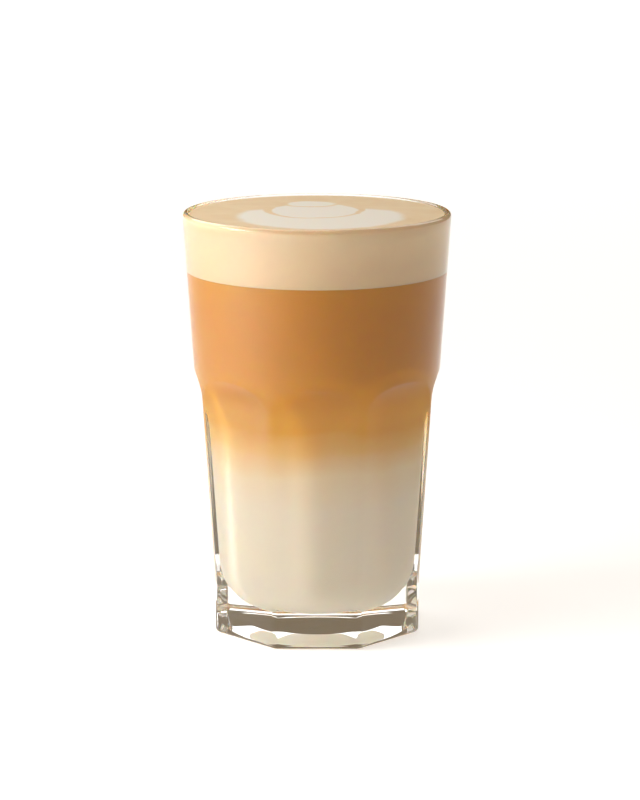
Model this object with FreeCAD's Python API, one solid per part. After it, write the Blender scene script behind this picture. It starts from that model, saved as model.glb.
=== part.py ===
"""A caffe latte in a tall faceted tumbler, built in millimetres with +Z up.

The glass is a conical pressed-glass blank. Eight flat facets are cut into its lower part, and each one runs
out under the shoulder in a scooped arch. The blank's own cone is left standing as a narrow ridge between
two facets. The thick base block is upright, with a shallow hollow pressed into its underside. The drink
fills the cavity in three layers that wet the wall: milk at the bottom, coffee above it and foam on top,
nearly up to the rim.

The origin is the centre of the foot, at the level that the glass stands on. One facet faces -Y.
"""

import FreeCAD
import Part

import os
from math import cos, hypot, pi, sin, tan

# Driving dimensions of the glass.
HEIGHT = 140.0            # foot to the top of the lip
RIM_RADIUS = 44.2         # outside of the wall, where the rounded lip begins
FOOT_RADIUS = 36.4        # round blank at the base block, before the facets are cut
BASE_HEIGHT = 17.0        # upright base block
FACET_COUNT = 8
FACET_INSET_FOOT = 2.5    # how deep a facet's middle is cut into the blank at the base block
FACET_INSET_TOP = 2.8     # the same, where the arch springs from the ridges
ARCH_SPRING = 80.0        # height at which the facets start to scoop outwards
SCOOP_RADIUS = 14.0       # hollow at the top of each facet
FOOT_ROUND = 1.5          # rounding of the edge that the glass stands on
EDGE_ROUND = 1.5          # softening of the facets' edges

# The cavity.
RIM_WALL = 2.6            # wall at the lip, which is fully rounded
SHOULDER_WALL = 3.3       # wall of the round part just above the arches
FACET_WALL_TOP = 8.0      # wall at a facet's middle, under its arch
FACET_WALL_FOOT = 8.0     # wall at a facet's middle, above the cavity's rounded bottom
FLOOR_THICKNESS = 8.2     # glass under the middle of the drink
FLOOR_ROUND = 15.0        # corner between the cavity's wall and its floor
SHOULDER_ROUND = 22.0     # bends of the cavity's wall inside the shoulder
SHOULDER_RUN = 8.0        # how far above and below the arches those bends lie

# The hollow under the foot.
PUNT_RADIUS = 26.0
PUNT_DEPTH = 1.4

# The drink, as levels above the foot.
FOAM_BELOW_RIM = 0.6      # the foam's surface under the top of the lip
FOAM_THICKNESS = 18.8
MILK_LEVEL = 69.0         # where the milk's colour gives way to the coffee's

OVERCUT = 5.0             # how far cutting tools run past what they cut

# Sizes that follow from those above.
LIP_RADIUS = RIM_WALL / 2
LIP_HEIGHT = HEIGHT - LIP_RADIUS
CONE_SLOPE = (RIM_RADIUS - FOOT_RADIUS) / (LIP_HEIGHT - BASE_HEIGHT)
FOAM_LEVEL = HEIGHT - FOAM_BELOW_RIM
COFFEE_LEVEL = FOAM_LEVEL - FOAM_THICKNESS


def blank_radius(z):
    """Outside radius of the conical blank at height z."""
    return FOOT_RADIUS + CONE_SLOPE * max(0.0, z - BASE_HEIGHT)


FACET_FOOT = blank_radius(BASE_HEIGHT) - FACET_INSET_FOOT
FACET_TOP = blank_radius(ARCH_SPRING) - FACET_INSET_TOP
FACET_SLOPE = (FACET_TOP - FACET_FOOT) / (ARCH_SPRING - BASE_HEIGHT)


def facet_radius(z):
    """Distance from the axis to the middle of a flat facet at height z."""
    return FACET_FOOT + FACET_SLOPE * max(0.0, z - BASE_HEIGHT)


def point(r, z):
    """A point of a profile, in the XZ plane."""
    return FreeCAD.Vector(r, 0, z)


def line(start, end):
    return Part.LineSegment(start, end).toShape()


def arc(start, middle, end):
    return Part.Arc(start, middle, end).toShape()


def corner(before, at, after, radius):
    """Tangent arc that rounds the corner at, as (first point, middle point, last point)."""
    to_before = (before - at).normalize()
    to_after = (after - at).normalize()
    half = to_before.getAngle(to_after) / 2
    reach = radius / tan(half)
    inward = (to_before + to_after).normalize()
    middle = at + inward * (radius / sin(half) - radius)
    return at + to_before * reach, middle, at + to_after * reach


def cavity_corners():
    """Corners of the cavity's wall before they are rounded, from the lip down to the floor."""
    lip = point(RIM_RADIUS - RIM_WALL, LIP_HEIGHT)
    upper_z = ARCH_SPRING + SHOULDER_RUN
    lower_z = ARCH_SPRING - SHOULDER_RUN
    shoulder = point(blank_radius(upper_z) - SHOULDER_WALL, upper_z)
    waist = point(facet_radius(lower_z) - FACET_WALL_TOP, lower_z)
    foot_z = FLOOR_THICKNESS + FLOOR_ROUND
    wall_slope = (waist.x - (facet_radius(foot_z) - FACET_WALL_FOOT)) / (lower_z - foot_z)
    floor = point(waist.x - wall_slope * (lower_z - FLOOR_THICKNESS), FLOOR_THICKNESS)
    centre = point(0, FLOOR_THICKNESS)
    return lip, shoulder, waist, floor, centre


def cavity_edges():
    """Edges of the cavity's profile, from the lip's inner end to the axis."""
    lip, shoulder, waist, floor, centre = cavity_corners()
    upper = corner(lip, shoulder, waist, SHOULDER_ROUND)
    lower = corner(shoulder, waist, floor, SHOULDER_ROUND)
    bottom = corner(waist, floor, centre, FLOOR_ROUND)
    return [
        line(lip, upper[0]),
        arc(*upper),
        line(upper[2], lower[0]),
        arc(*lower),
        line(lower[2], bottom[0]),
        arc(*bottom),
        line(bottom[2], centre),
    ]


def revolve(edges):
    """Solid of revolution about Z from the edges of a closed profile."""
    face = Part.Face(Part.Wire(Part.__sortEdges__(edges)))
    return face.revolve(FreeCAD.Vector(0, 0, 0), FreeCAD.Vector(0, 0, 1), 360)


def blank():
    """The round glass before its facets: cone, rounded lip, cavity and the hollow under the foot."""
    inner_lip = point(RIM_RADIUS - RIM_WALL, LIP_HEIGHT)
    outer_lip = point(RIM_RADIUS, LIP_HEIGHT)
    crown = point(RIM_RADIUS - LIP_RADIUS, HEIGHT)
    shoulder = point(FOOT_RADIUS, BASE_HEIGHT)
    foot = point(FOOT_RADIUS, 0)
    punt_edge = point(PUNT_RADIUS, 0)
    punt_top = point(0, PUNT_DEPTH)
    sphere = (PUNT_RADIUS ** 2 + PUNT_DEPTH ** 2) / (2 * PUNT_DEPTH)
    half_way = PUNT_RADIUS / 2
    punt_middle = point(half_way, PUNT_DEPTH - sphere + (sphere ** 2 - half_way ** 2) ** 0.5)
    floor = point(0, FLOOR_THICKNESS)
    edges = cavity_edges() + [
        arc(inner_lip, crown, outer_lip),
        line(outer_lip, shoulder),
        line(shoulder, foot),
        line(foot, punt_edge),
        arc(punt_edge, punt_middle, punt_top),
        line(punt_top, floor),
    ]
    return revolve(edges)


def facet_cutter():
    """Tool for the facet that faces +X: upright at the base, sloping above it, scooped at the top."""
    slope_length = hypot(1, FACET_SLOPE)
    outward = FreeCAD.Vector(1 / slope_length, 0, -FACET_SLOPE / slope_length)
    upward = FreeCAD.Vector(FACET_SLOPE / slope_length, 0, 1 / slope_length)
    spring = point(FACET_TOP, ARCH_SPRING)
    centre = spring + outward * SCOOP_RADIUS
    quarter = pi / 4
    middle = centre - outward * SCOOP_RADIUS * cos(quarter) + upward * SCOOP_RADIUS * sin(quarter)
    top = centre + upward * SCOOP_RADIUS
    foot = point(FACET_FOOT, BASE_HEIGHT)
    bottom = point(FACET_FOOT, -OVERCUT)
    outside = RIM_RADIUS + OVERCUT
    edges = [
        line(bottom, foot),
        line(foot, spring),
        arc(spring, middle, top),
        line(top, point(outside, top.z)),
        line(point(outside, top.z), point(outside, -OVERCUT)),
        line(point(outside, -OVERCUT), bottom),
    ]
    face = Part.Face(Part.Wire(edges))
    face.translate(FreeCAD.Vector(0, -outside, 0))
    return face.extrude(FreeCAD.Vector(0, 2 * outside, 0))


def facet_cutters():
    """One cutter for each facet, with the first facing -Y."""
    tool = facet_cutter()
    tools = []
    for index in range(FACET_COUNT):
        copy = tool.copy()
        copy.rotate(FreeCAD.Vector(0, 0, 0), FreeCAD.Vector(0, 0, 1), 360 * index / FACET_COUNT - 90)
        tools.append(copy)
    return tools


def facet_edges(solid):
    """Edges along which the facets leave the blank: the ridges' sides and the arches."""
    found = []
    for edge in solid.Edges:
        low = edge.BoundBox.ZMin
        high = edge.BoundBox.ZMax
        upright = high - low > 1.0
        middle = edge.valueAt((edge.FirstParameter + edge.LastParameter) / 2)
        on_blank = abs(hypot(middle.x, middle.y) - blank_radius(middle.z)) < 0.01
        if upright and on_blank and high < ARCH_SPRING + SCOOP_RADIUS:
            found.append(edge)
    return found


def standing_edges(solid):
    """Edges around the outside of the face that the glass stands on."""
    found = []
    for edge in solid.Edges:
        middle = edge.valueAt((edge.FirstParameter + edge.LastParameter) / 2)
        outside = hypot(middle.x, middle.y) > (PUNT_RADIUS + FACET_FOOT) / 2
        if edge.BoundBox.ZMax < 0.001 and outside:
            found.append(edge)
    return found


def glass():
    """The tumbler: the blank with its facets cut and their edges softened."""
    cut = blank().cut(facet_cutters()).Solids[0]
    softened = cut.makeFillet(EDGE_ROUND, facet_edges(cut))
    return softened.makeFillet(FOOT_ROUND, standing_edges(softened))


def brimful():
    """The whole inside of the glass as one solid, up to the crown of its rounded lip."""
    lip, _, _, _, centre = cavity_corners()
    crown = point(RIM_RADIUS - LIP_RADIUS, HEIGHT)
    eighth = LIP_RADIUS * cos(pi / 4)
    middle = point(crown.x - eighth, LIP_HEIGHT + eighth)
    edges = cavity_edges() + [
        line(centre, point(0, HEIGHT)),
        line(point(0, HEIGHT), crown),
        arc(crown, middle, lip),
    ]
    return revolve(edges)


def layer(low, high):
    """The part of the drink between two levels."""
    slab = Part.makeCylinder(RIM_RADIUS, high - low, FreeCAD.Vector(0, 0, low))
    return brimful().common(slab)


def main():
    os.makedirs("parts", exist_ok=True)
    pieces = {
        "glass": glass(),
        "milk": layer(0, MILK_LEVEL),
        "coffee": layer(MILK_LEVEL, COFFEE_LEVEL),
        "foam": layer(COFFEE_LEVEL, FOAM_LEVEL),
    }
    for name, shape in pieces.items():
        shape.exportStep(f"parts/{name}.step")
        print(name, "valid", shape.isValid(), "solids", len(shape.Solids), "cm3", round(shape.Volume / 1000, 1))


main()
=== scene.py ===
from math import cos, pi, radians, sin, tan

import bpy
import numpy as np
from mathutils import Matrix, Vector


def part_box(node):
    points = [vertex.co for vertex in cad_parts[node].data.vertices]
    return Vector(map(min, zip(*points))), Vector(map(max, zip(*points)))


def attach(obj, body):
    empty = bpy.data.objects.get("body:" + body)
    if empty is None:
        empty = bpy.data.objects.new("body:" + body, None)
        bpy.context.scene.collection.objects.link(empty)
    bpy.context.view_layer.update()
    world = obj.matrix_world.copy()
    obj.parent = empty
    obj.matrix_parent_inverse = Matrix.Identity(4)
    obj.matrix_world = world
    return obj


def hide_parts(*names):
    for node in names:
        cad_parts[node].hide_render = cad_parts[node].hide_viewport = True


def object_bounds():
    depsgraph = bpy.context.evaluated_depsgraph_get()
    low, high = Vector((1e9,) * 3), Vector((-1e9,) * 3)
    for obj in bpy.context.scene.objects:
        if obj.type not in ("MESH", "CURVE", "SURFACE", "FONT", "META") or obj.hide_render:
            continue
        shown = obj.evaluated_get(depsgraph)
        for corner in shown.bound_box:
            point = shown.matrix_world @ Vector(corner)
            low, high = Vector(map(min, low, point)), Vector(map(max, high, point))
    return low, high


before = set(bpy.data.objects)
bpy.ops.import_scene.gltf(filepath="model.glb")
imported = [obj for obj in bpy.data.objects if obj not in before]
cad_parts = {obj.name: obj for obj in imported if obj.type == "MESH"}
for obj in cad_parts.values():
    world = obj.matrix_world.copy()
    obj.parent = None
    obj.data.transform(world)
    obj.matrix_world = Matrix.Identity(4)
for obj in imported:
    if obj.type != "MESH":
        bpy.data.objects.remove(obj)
cad_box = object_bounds()
bpy.ops.object.select_all(action="DESELECT")

MM = 0.001


# The camera and how its picture is shown.
# The glass stands just under eye level, seen from a little above its rim with a long lens.
EYE = (1.0 * MM, -873.3 * MM, 263.5 * MM)
LOOK_DOWN_DEGREES = 12.09
FOCAL_LENGTH = 120.5
camera = bpy.data.objects.new("camera", bpy.data.cameras.new("camera"))
bpy.context.collection.objects.link(camera)
camera.location = EYE
camera.rotation_euler = (radians(90 - LOOK_DOWN_DEGREES), 0, 0)
camera.data.sensor_width = 36
camera.data.lens = FOCAL_LENGTH
camera.data.clip_end = 40
bpy.context.scene.camera = camera
bpy.context.scene.view_settings.view_transform = "Standard"
bpy.context.scene.cycles.max_bounces = 24
bpy.context.scene.cycles.transmission_bounces = 20
bpy.context.scene.cycles.diffuse_bounces = 4
bpy.context.scene.cycles.glossy_bounces = 8
bpy.context.scene.cycles.blur_glossy = 0.1


# The floor: a wide sheet of matte white card.
# It carries the glass and runs on to the horizon, so it is also the background.
def to_linear(hex_colour):
    """Linear RGBA from an sRGB hex colour."""
    channels = [int(hex_colour[i:i + 2], 16) / 255 for i in (1, 3, 5)]
    return [c / 12.92 if c <= 0.04045 else ((c + 0.055) / 1.055) ** 2.4 for c in channels] + [1]


def new_material(name):
    """An empty node material with its Principled shader and its tree."""
    material = bpy.data.materials.new(name)
    material.use_nodes = True
    tree = material.node_tree
    return material, tree, tree.nodes["Principled BSDF"]


def add_node(tree, kind, settings=None, inputs=None, links=None):
    """Adds a node, sets its properties and inputs, and links (input: output socket) into it."""
    node = tree.nodes.new(kind)
    for key, value in (settings or {}).items():
        setattr(node, key, value)
    for key, value in (inputs or {}).items():
        node.inputs[key].default_value = value
    for key, socket in (links or {}).items():
        tree.links.new(socket, node.inputs[key])
    return node


def matte_white_card():
    """Uncoated white card: dull and even, with a little light of its own."""
    material, tree, shader = new_material("matte_white_card")
    shader.inputs["Base Color"].default_value = to_linear("#DAD8D5")
    shader.inputs["Roughness"].default_value = 0.95
    shader.inputs["Specular IOR Level"].default_value = 0.1
    shader.inputs["Emission Color"].default_value = to_linear("#FFFFFF")
    shader.inputs["Emission Strength"].default_value = 0.54
    return material


FLOOR_GAP = 0.2 * MM
FLOOR_SIZE = 30
FLOOR_SHIFT_BACK = 8
floor_place = (0, FLOOR_SHIFT_BACK, cad_box[0][2] - FLOOR_GAP)
bpy.ops.mesh.primitive_plane_add(size=FLOOR_SIZE, location=floor_place)
floor = bpy.context.object
floor.name = "floor"
floor.data.materials.append(matte_white_card())


# The light: a soft box beside the glass at the left, and one low over the floor there.
# A weak sheet overhead and a large one behind fill the rest, in a dim warm room.
def soft_box(name, place, target, size, power, colour):
    """A rectangular area light that faces the target."""
    data = bpy.data.lights.new(name, "AREA")
    data.shape = "RECTANGLE"
    data.size, data.size_y = size
    data.energy = power
    data.color = to_linear(colour)[:3]
    light = bpy.data.objects.new(name, data)
    light.location = place
    light.rotation_euler = (Vector(target) - Vector(place)).to_track_quat("-Z", "Y").to_euler()
    bpy.context.collection.objects.link(light)


MIDDLE = (0, 0, 70 * MM)
LEFT_FLOOR = (-0.38, -0.17, 0)
FAR_FLOOR = (0, 3.0, 0)
soft_box("key_light", (-0.80, -0.26, 0.30), MIDDLE, (0.20, 0.50), 1.9, "#FFFFFF")
soft_box("table_light", (-0.38, -0.17, 0.28), LEFT_FLOOR, (0.30, 0.34), 3.2, "#FFFFFF")
soft_box("top_light", (-0.3, 0.3, 1.9), MIDDLE, (1.2, 1.2), 8, "#FFFDF8")
soft_box("back_light", (0, 3.4, 2.6), FAR_FLOOR, (6.0, 3.6), 125, "#FFFFFF")

room = bpy.data.worlds.new("room")
room.use_nodes = True
walls = room.node_tree.nodes["Background"]
walls.inputs["Color"].default_value = to_linear("#F5CF9A")
walls.inputs["Strength"].default_value = 0.18
bpy.context.scene.world = room


# The tumbler: pressed soda-lime glass, fire-polished, with a rounded lip.
# A conical blank is drawn as a profile and spun, then eight facets are pressed into its lower part.
HEIGHT = cad_box[1][2]
RIM_RADIUS = cad_box[1][0]
RIM_WALL = 2.6 * MM
LIP_RADIUS = RIM_WALL / 2
LIP_HEIGHT = HEIGHT - LIP_RADIUS
FOOT_RADIUS = 36.4 * MM
BASE_HEIGHT = 17.0 * MM
FACETS = 8
FACET_INSET_FOOT = 2.5 * MM
FACET_INSET_TOP = 2.8 * MM
ARCH_SPRING = 80.0 * MM
SCOOP_RADIUS = 14.0 * MM
FOOT_ROUND = 1.5 * MM
SHOULDER_WALL = 3.3 * MM
FACET_WALL_TOP = 8.0 * MM
FACET_WALL_FOOT = 8.0 * MM
FLOOR_THICKNESS = 8.2 * MM
FLOOR_ROUND = 15.0 * MM
SHOULDER_ROUND = 22.0 * MM
SHOULDER_RUN = 8.0 * MM
PUNT_RADIUS = 26.0 * MM
PUNT_DEPTH = 1.4 * MM
PUNT_EDGE_ROUND = 8.0 * MM
BASE_TURN = 5.0 * MM
LIP_STEPS = 6
ARCH_LOW = ARCH_SPRING - 3 * MM
ARCH_TOP = ARCH_SPRING + SCOOP_RADIUS
ARCH_HIGH = ARCH_TOP + 2 * MM
COLUMNS = 416
CONE_SLOPE = (RIM_RADIUS - FOOT_RADIUS) / (LIP_HEIGHT - BASE_HEIGHT)


def blank_radius(z):
    """Outside radius of the conical blank at height z, for a number or an array."""
    return FOOT_RADIUS + CONE_SLOPE * np.maximum(0, z - BASE_HEIGHT)


FACET_FOOT = blank_radius(BASE_HEIGHT) - FACET_INSET_FOOT
FACET_TOP = blank_radius(ARCH_SPRING) - FACET_INSET_TOP
FACET_SLOPE = (FACET_TOP - FACET_FOOT) / (ARCH_SPRING - BASE_HEIGHT)


def facet_radius(z):
    """Distance from the axis to a facet's middle at height z, with the scoop at its top."""
    flat = FACET_FOOT + FACET_SLOPE * np.maximum(0, z - BASE_HEIGHT)
    rise = np.clip(z - ARCH_SPRING, 0, SCOOP_RADIUS)
    return flat + SCOOP_RADIUS - np.sqrt(SCOOP_RADIUS ** 2 - rise ** 2)


def rounded_path(corners, spacing):
    """Points along a path of (x, z, radius) corners, with each corner rounded by its radius."""
    places = [Vector((x, z)) for x, z, _ in corners]
    path = [places[0]]
    for index in range(1, len(corners) - 1):
        at = places[index]
        radius = corners[index][2]
        to_before = (places[index - 1] - at).normalized()
        to_after = (places[index + 1] - at).normalized()
        half = to_before.angle(to_after) / 2
        if radius == 0:
            path.append(at)
            continue
        centre = at + (to_before + to_after).normalized() * radius / sin(half)
        start = at + to_before * radius / tan(half)
        turn = pi - 2 * half
        first = start - centre
        side = 1 if to_before.x * to_after.y - to_before.y * to_after.x < 0 else -1
        steps = max(4, round(turn * radius / spacing))
        for step in range(steps + 1):
            angle = side * turn * step / steps
            path.append(centre + Vector((first.x * cos(angle) - first.y * sin(angle),
                                         first.x * sin(angle) + first.y * cos(angle))))
    path.append(places[-1])
    filled = [path[0]]
    for point in path[1:]:
        run = point - filled[-1]
        pieces = max(1, round(run.length / spacing))
        start = filled[-1]
        filled += [start + run * piece / pieces for piece in range(1, pieces + 1)]
    return filled


def spin_profile(name, path, columns):
    """Draws the path as a chain of edges in the XZ plane and spins it about the Z axis."""
    bpy.ops.object.select_all(action="DESELECT")
    bpy.ops.mesh.primitive_plane_add(size=MM, location=(0, 0, 0))
    piece = bpy.context.object
    piece.name = name
    bpy.ops.object.mode_set(mode="EDIT")
    bpy.ops.mesh.select_all(action="SELECT")
    bpy.ops.mesh.merge(type="CENTER")
    bpy.ops.transform.translate(value=(path[0].x, 0, path[0].y))
    for before, after in zip(path, path[1:]):
        bpy.ops.mesh.extrude_region_move(
            TRANSFORM_OT_translate={"value": (after.x - before.x, 0, after.y - before.y)})
    bpy.ops.mesh.select_all(action="SELECT")
    bpy.ops.mesh.spin(steps=columns, angle=2 * pi, center=(0, 0, 0), axis=(0, 0, 1))
    bpy.ops.mesh.select_all(action="SELECT")
    bpy.ops.mesh.remove_doubles(threshold=0.002 * MM)
    bpy.ops.mesh.normals_make_consistent(inside=False)
    bpy.ops.object.mode_set(mode="OBJECT")
    bpy.ops.object.shade_smooth_by_angle(angle=radians(40))
    return piece


def lip_point(side, step):
    """Point of the rounded lip, steps away from its crown, on its inner (-1) or outer (1) side."""
    turn = pi / 2 * step / LIP_STEPS
    return Vector((RIM_RADIUS - LIP_RADIUS + side * LIP_RADIUS * sin(turn),
                   LIP_HEIGHT + LIP_RADIUS * cos(turn)))


def inner_lip():
    """Points of the lip's inner quarter, from its crown down to where the wall begins."""
    return [lip_point(-1, step) for step in range(LIP_STEPS)]


def cavity_corners():
    """Corners of the cavity from the lip down to the middle of its floor, as (x, z, radius)."""
    upper_z = ARCH_SPRING + SHOULDER_RUN
    lower_z = ARCH_SPRING - SHOULDER_RUN
    waist = FACET_FOOT + FACET_SLOPE * (lower_z - BASE_HEIGHT) - FACET_WALL_TOP
    foot_z = FLOOR_THICKNESS + FLOOR_ROUND
    foot = FACET_FOOT + FACET_SLOPE * (foot_z - BASE_HEIGHT) - FACET_WALL_FOOT
    slope = (waist - foot) / (lower_z - foot_z)
    return [
        (RIM_RADIUS - RIM_WALL, LIP_HEIGHT, 0),
        (blank_radius(upper_z) - SHOULDER_WALL, upper_z, SHOULDER_ROUND),
        (waist, lower_z, SHOULDER_ROUND),
        (waist - slope * (lower_z - FLOOR_THICKNESS), FLOOR_THICKNESS, FLOOR_ROUND),
        (0, FLOOR_THICKNESS, 0),
    ]


def press_facets(piece):
    """Moves the outer wall in to the softened meeting of the eight facets and the blank's cone.

    The sharpnesses are powers: the higher, the smaller the rounding. Columns crowd towards the ridges.
    """
    ridge_sharpness = 420
    side_sharpness = 700
    arch_sharpness = 260
    crowding = 0.6
    fade_run = 12 * MM
    count = len(piece.data.vertices)
    co = np.empty(count * 3)
    piece.data.vertices.foreach_get("co", co)
    co = co.reshape(-1, 3)
    radius = np.hypot(co[:, 0], co[:, 1])
    angle = np.arctan2(co[:, 1], co[:, 0])
    angle = angle + crowding * np.sin(FACETS * angle) / FACETS
    z = co[:, 2]
    cone = blank_radius(z)
    facet = facet_radius(z)
    pull = np.zeros(count)
    for index in range(FACETS):
        facing = np.clip(np.cos(angle - 2 * pi * index / FACETS), 0, None)
        pull += facing ** ridge_sharpness
    facet_wall = facet * pull ** (-1 / ridge_sharpness)
    nearer = np.minimum(facet_wall, cone)
    farther = np.maximum(facet_wall, cone)
    sharpness = np.interp(z, [ARCH_SPRING, ARCH_TOP], [side_sharpness, arch_sharpness])
    wall = nearer * (1 + (nearer / farther) ** sharpness) ** (-1 / sharpness)
    fade = np.clip((z - ARCH_TOP) / fade_run, 0, 1)
    wall = wall + (cone - wall) * fade
    outside = radius > cone - 2 * FOOT_ROUND
    low = z < FOOT_ROUND
    share = np.where(outside, 1, np.clip((radius - PUNT_RADIUS) / (cone - PUNT_RADIUS), 0, 1))
    share = np.where(outside | (low & (radius > PUNT_RADIUS)), share, 0)
    radius = radius - share * (cone - wall)
    co[:, 0] = radius * np.cos(angle)
    co[:, 1] = radius * np.sin(angle)
    piece.data.vertices.foreach_set("co", co.ravel())
    piece.data.update()


def pressed_soda_lime_glass():
    """Clear soda-lime glass, pressed and fire-polished: a smooth skin with a faint slow waviness.

    The waves are 14 mm apart, as the press leaves them.
    """
    material, tree, shader = new_material("pressed_soda_lime_glass")
    shader.inputs["Base Color"].default_value = to_linear("#F9FBFA")
    shader.inputs["Roughness"].default_value = 0.0
    shader.inputs["IOR"].default_value = 1.5
    shader.inputs["Transmission Weight"].default_value = 1.0
    place = add_node(tree, "ShaderNodeTexCoord")
    waves = add_node(tree, "ShaderNodeTexNoise",
                     inputs={"Scale": 1 / (14 * MM), "Detail": 1.0},
                     links={"Vector": place.outputs["Object"]})
    bump = add_node(tree, "ShaderNodeBump", inputs={"Strength": 0.25, "Distance": 0.05 * MM},
                    links={"Height": waves.outputs["Fac"]})
    tree.links.new(bump.outputs["Normal"], shader.inputs["Normal"])
    return material


foot_corners = [
    (0, PUNT_DEPTH, 0),
    (PUNT_RADIUS * 0.5, PUNT_DEPTH * 0.75, 30 * MM),
    (PUNT_RADIUS, 0, PUNT_EDGE_ROUND),
    (FOOT_RADIUS, 0, FOOT_ROUND),
    (FOOT_RADIUS, BASE_HEIGHT, BASE_TURN),
    (blank_radius(ARCH_LOW), ARCH_LOW, 0),
]
arch_corners = [(blank_radius(ARCH_LOW), ARCH_LOW, 0), (blank_radius(ARCH_HIGH), ARCH_HIGH, 0)]
upper_corners = [(blank_radius(ARCH_HIGH), ARCH_HIGH, 0), (RIM_RADIUS, LIP_HEIGHT, 0)]
outside_path = rounded_path(foot_corners, 1.5 * MM)
outside_path += rounded_path(arch_corners, 0.4 * MM)[1:]
outside_path += rounded_path(upper_corners, 3.0 * MM)[1:]
outer_lip = [lip_point(1, step) for step in range(LIP_STEPS - 1, 0, -1)]
inside_path = rounded_path(cavity_corners(), 2.2 * MM)
tumbler_path = outside_path + outer_lip + inner_lip() + inside_path
tumbler = spin_profile("glass_tumbler", tumbler_path, COLUMNS)
press_facets(tumbler)
tumbler.data.materials.append(pressed_soda_lime_glass())
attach(tumbler, "root")
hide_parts("glass")


# The drink under the foam: steamed milk below, espresso mixed with milk above.
# It wets the wall all round, so its skin reaches just into the glass. The two shade into each other.
WETTING = 0.08 * MM
COFFEE_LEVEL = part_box("coffee")[1][2]
FOAM_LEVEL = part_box("foam")[1][2]


def drink_path(low, high, spacing):
    """The cavity's profile between two heights, moved just into the wall, from the top down."""
    inside = inner_lip() + rounded_path(cavity_corners(), spacing)
    near_floor = 2 * FLOOR_THICKNESS
    return [Vector((point.x + WETTING * (point.x > 0), point.y - WETTING * (point.y < near_floor)))
            for point in inside if low < point.y < high]


def wall_radius(z):
    """Radius of the cavity at height z, moved just into the wall."""
    inside = inner_lip() + rounded_path(cavity_corners(), 0.5 * MM)
    heights = [point.y for point in reversed(inside)]
    radii = [point.x for point in reversed(inside)]
    return float(np.interp(z, heights, radii)) + WETTING


def milky_coffee():
    """Milk and espresso that are not yet stirred: opaque, cream-white below, caramel brown above.

    The border sways by a centimetre round the glass, in drifts about 30 mm wide.
    """
    all_milk = 45 * MM
    all_coffee = 85 * MM
    sway = 10 * MM
    stops = [(0.0, "#E7DECC"), (0.30, "#E8D8B8"), (0.52, "#E3BA72"), (0.68, "#DA9E30"),
             (1.0, "#D69604")]
    material, tree, shader = new_material("milky_coffee")
    place = add_node(tree, "ShaderNodeTexCoord")
    drift = add_node(tree, "ShaderNodeTexNoise",
                     inputs={"Scale": 1 / (30 * MM), "Detail": 2.0},
                     links={"Vector": place.outputs["Object"]})
    split = add_node(tree, "ShaderNodeSeparateXYZ", links={"Vector": place.outputs["Object"]})
    swayed = add_node(tree, "ShaderNodeMath", {"operation": "MULTIPLY_ADD"}, {1: sway},
                      {0: drift.outputs["Fac"], 2: split.outputs["Z"]})
    height = add_node(tree, "ShaderNodeMapRange",
                      inputs={"From Min": all_milk + sway / 2, "From Max": all_coffee + sway / 2},
                      links={"Value": swayed.outputs["Value"]})
    ramp = add_node(tree, "ShaderNodeValToRGB", links={"Fac": height.outputs["Result"]})
    band = ramp.color_ramp
    band.elements[0].position, band.elements[0].color = stops[0][0], to_linear(stops[0][1])
    band.elements[1].position, band.elements[1].color = stops[-1][0], to_linear(stops[-1][1])
    for position, colour in stops[1:-1]:
        band.elements.new(position).color = to_linear(colour)
    tree.links.new(ramp.outputs["Color"], shader.inputs["Base Color"])
    shader.inputs["Roughness"].default_value = 0.6
    shader.inputs["IOR"].default_value = 1.12
    shader.inputs["Subsurface Weight"].default_value = 0.6
    shader.inputs["Subsurface Radius"].default_value = (1.0, 0.6, 0.3)
    shader.inputs["Subsurface Scale"].default_value = 1.5 * MM
    return material


coffee_top = Vector((wall_radius(COFFEE_LEVEL), COFFEE_LEVEL))
coffee_face = [Vector((0, COFFEE_LEVEL)), Vector((coffee_top.x / 2, COFFEE_LEVEL)), coffee_top]
coffee_path = coffee_face + drink_path(0, COFFEE_LEVEL - 0.5 * MM, 1.6 * MM)
drink = spin_profile("milk_and_coffee", coffee_path, 128)
drink.data.materials.append(milky_coffee())
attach(drink, "root")
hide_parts("milk", "coffee")


# The foam: fine steamed-milk foam stained by the coffee, with a pattern of white foam poured in.
# It is spun like the drink, with a flat top just under the lip.
def oval(tree, place, centre, radii, softness, inside=1):
    """Socket of a mask that is 1 inside an upright oval seen from above, or with inside=0, outside.

    All sizes are in millimetres. The softness is how far the edge blurs to each side.
    """
    moved = add_node(tree, "ShaderNodeVectorMath", {"operation": "SUBTRACT"},
                     {1: (centre[0] * MM, centre[1] * MM, 0)}, {0: place})
    scaled = add_node(tree, "ShaderNodeVectorMath", {"operation": "MULTIPLY"},
                      {1: (1 / (radii[0] * MM), 1 / (radii[1] * MM), 0)},
                      {0: moved.outputs["Vector"]})
    length = add_node(tree, "ShaderNodeVectorMath", {"operation": "LENGTH"},
                      links={0: scaled.outputs["Vector"]})
    edge = softness / min(radii)
    mask = add_node(tree, "ShaderNodeMapRange", {"interpolation_type": "SMOOTHSTEP"},
                    {"From Min": 1 + edge, "From Max": 1 - edge,
                     "To Min": 1 - inside, "To Max": inside},
                    {"Value": length.outputs["Value"]})
    return mask.outputs["Result"]


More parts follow.
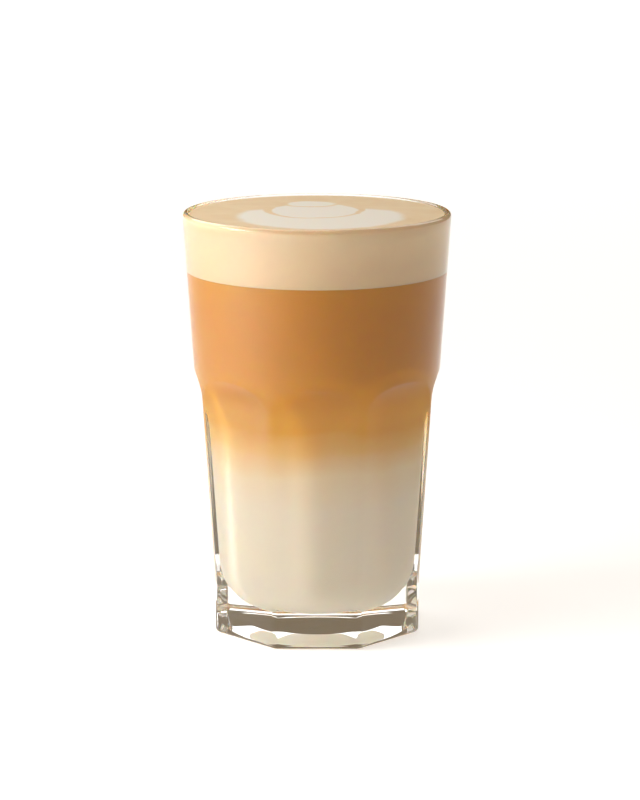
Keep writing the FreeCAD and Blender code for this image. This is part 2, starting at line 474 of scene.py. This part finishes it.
def poured_pattern(tree, place):
    """Socket of the white pattern: a bowl near the drinker, a leaf in its hollow, and a bud behind."""
    bowl = [
        oval(tree, place, (1.2, -8.0), (27.0, 29.0), 1.8),
        oval(tree, place, (1.5, -29.0), (44.0, 40.5), 2.5),
        oval(tree, place, (-1.0, 9.0), (17.0, 22.2), 0.5, inside=0),
    ]
    leaf = [
        oval(tree, place, (-0.8, 5.0), (14.2, 17.0), 0.5),
        oval(tree, place, (-1.8, 21.0), (9.6, 7.9), 0.5, inside=0),
    ]
    pattern = oval(tree, place, (-1.8, 20.9), (8.2, 6.4), 0.7)
    for outlines in (bowl, leaf):
        stroke = outlines[0]
        for outline in outlines[1:]:
            stroke = add_node(tree, "ShaderNodeMath", {"operation": "MULTIPLY"},
                              links={0: stroke, 1: outline}).outputs["Value"]
        pattern = add_node(tree, "ShaderNodeMath", {"operation": "MAXIMUM"},
                           links={0: pattern, 1: stroke}).outputs["Value"]
    return pattern


def milk_foam():
    """Microfoam: dull, dense and slightly translucent, stained tan, with the white pattern on top.

    Its bubbles are 0.5 mm, coarser than real microfoam, so that they show. The stain drifts over
    9 mm, and the pour's outlines stray by up to 1.5 mm.
    """
    stray = 3 * MM
    material, tree, shader = new_material("milk_foam")
    place = add_node(tree, "ShaderNodeTexCoord").outputs["Object"]
    drift = add_node(tree, "ShaderNodeTexNoise",
                     inputs={"Scale": 1 / (9 * MM), "Detail": 3.0}, links={"Vector": place})
    centred = add_node(tree, "ShaderNodeVectorMath", {"operation": "SUBTRACT"},
                       {1: (0.5, 0.5, 0.5)}, {0: drift.outputs["Color"]})
    strayed = add_node(tree, "ShaderNodeVectorMath", {"operation": "MULTIPLY_ADD"},
                       {1: (stray, stray, 0)}, {0: centred.outputs["Vector"], 2: place})
    height = add_node(tree, "ShaderNodeSeparateXYZ", links={"Vector": place})
    on_top = add_node(tree, "ShaderNodeMapRange",
                      inputs={"From Min": FOAM_LEVEL - 0.6 * MM, "From Max": FOAM_LEVEL - 0.2 * MM},
                      links={"Value": height.outputs["Z"]}).outputs["Result"]
    poured = add_node(tree, "ShaderNodeMath", {"operation": "MULTIPLY"},
                      links={0: poured_pattern(tree, strayed.outputs["Vector"]), 1: on_top})
    stain = add_node(tree, "ShaderNodeValToRGB", links={"Fac": drift.outputs["Fac"]})
    light, dark = stain.color_ramp.elements[1], stain.color_ramp.elements[0]
    dark.position, dark.color = 0.3, to_linear("#E0C39A")
    light.position, light.color = 0.7, to_linear("#E6CEA8")
    side = add_node(tree, "ShaderNodeMix", {"data_type": "RGBA"}, {"A": to_linear("#F3DEBC")},
                    {"Factor": on_top, "B": stain.outputs["Color"]})
    colour = add_node(tree, "ShaderNodeMix", {"data_type": "RGBA"}, {"B": to_linear("#EAE4D8")},
                      {"Factor": poured.outputs["Value"], "A": side.outputs["Result"]})
    tree.links.new(colour.outputs["Result"], shader.inputs["Base Color"])
    bubbles = add_node(tree, "ShaderNodeTexVoronoi",
                       inputs={"Scale": 1 / (0.5 * MM)}, links={"Vector": place})
    bump = add_node(tree, "ShaderNodeBump", inputs={"Strength": 0.25, "Distance": 0.05 * MM},
                    links={"Height": bubbles.outputs["Distance"]})
    tree.links.new(bump.outputs["Normal"], shader.inputs["Normal"])
    shader.inputs["Roughness"].default_value = 0.5
    shader.inputs["IOR"].default_value = 1.2
    shader.inputs["Subsurface Weight"].default_value = 0.6
    shader.inputs["Subsurface Radius"].default_value = (1.0, 0.6, 0.35)
    shader.inputs["Subsurface Scale"].default_value = 1.5 * MM
    return material


foam_rim = wall_radius(FOAM_LEVEL)
TOP_RINGS = 40
foam_path = [Vector((foam_rim * ring / TOP_RINGS, FOAM_LEVEL)) for ring in range(TOP_RINGS + 1)]
foam_path += drink_path(COFFEE_LEVEL + 0.4 * MM, FOAM_LEVEL - 0.1 * MM, 1.2 * MM)
foam_path += reversed(coffee_face)
foam = spin_profile("milk_foam", foam_path, 160)
foam.data.materials.append(milk_foam())
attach(foam, "root")
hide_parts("foam")
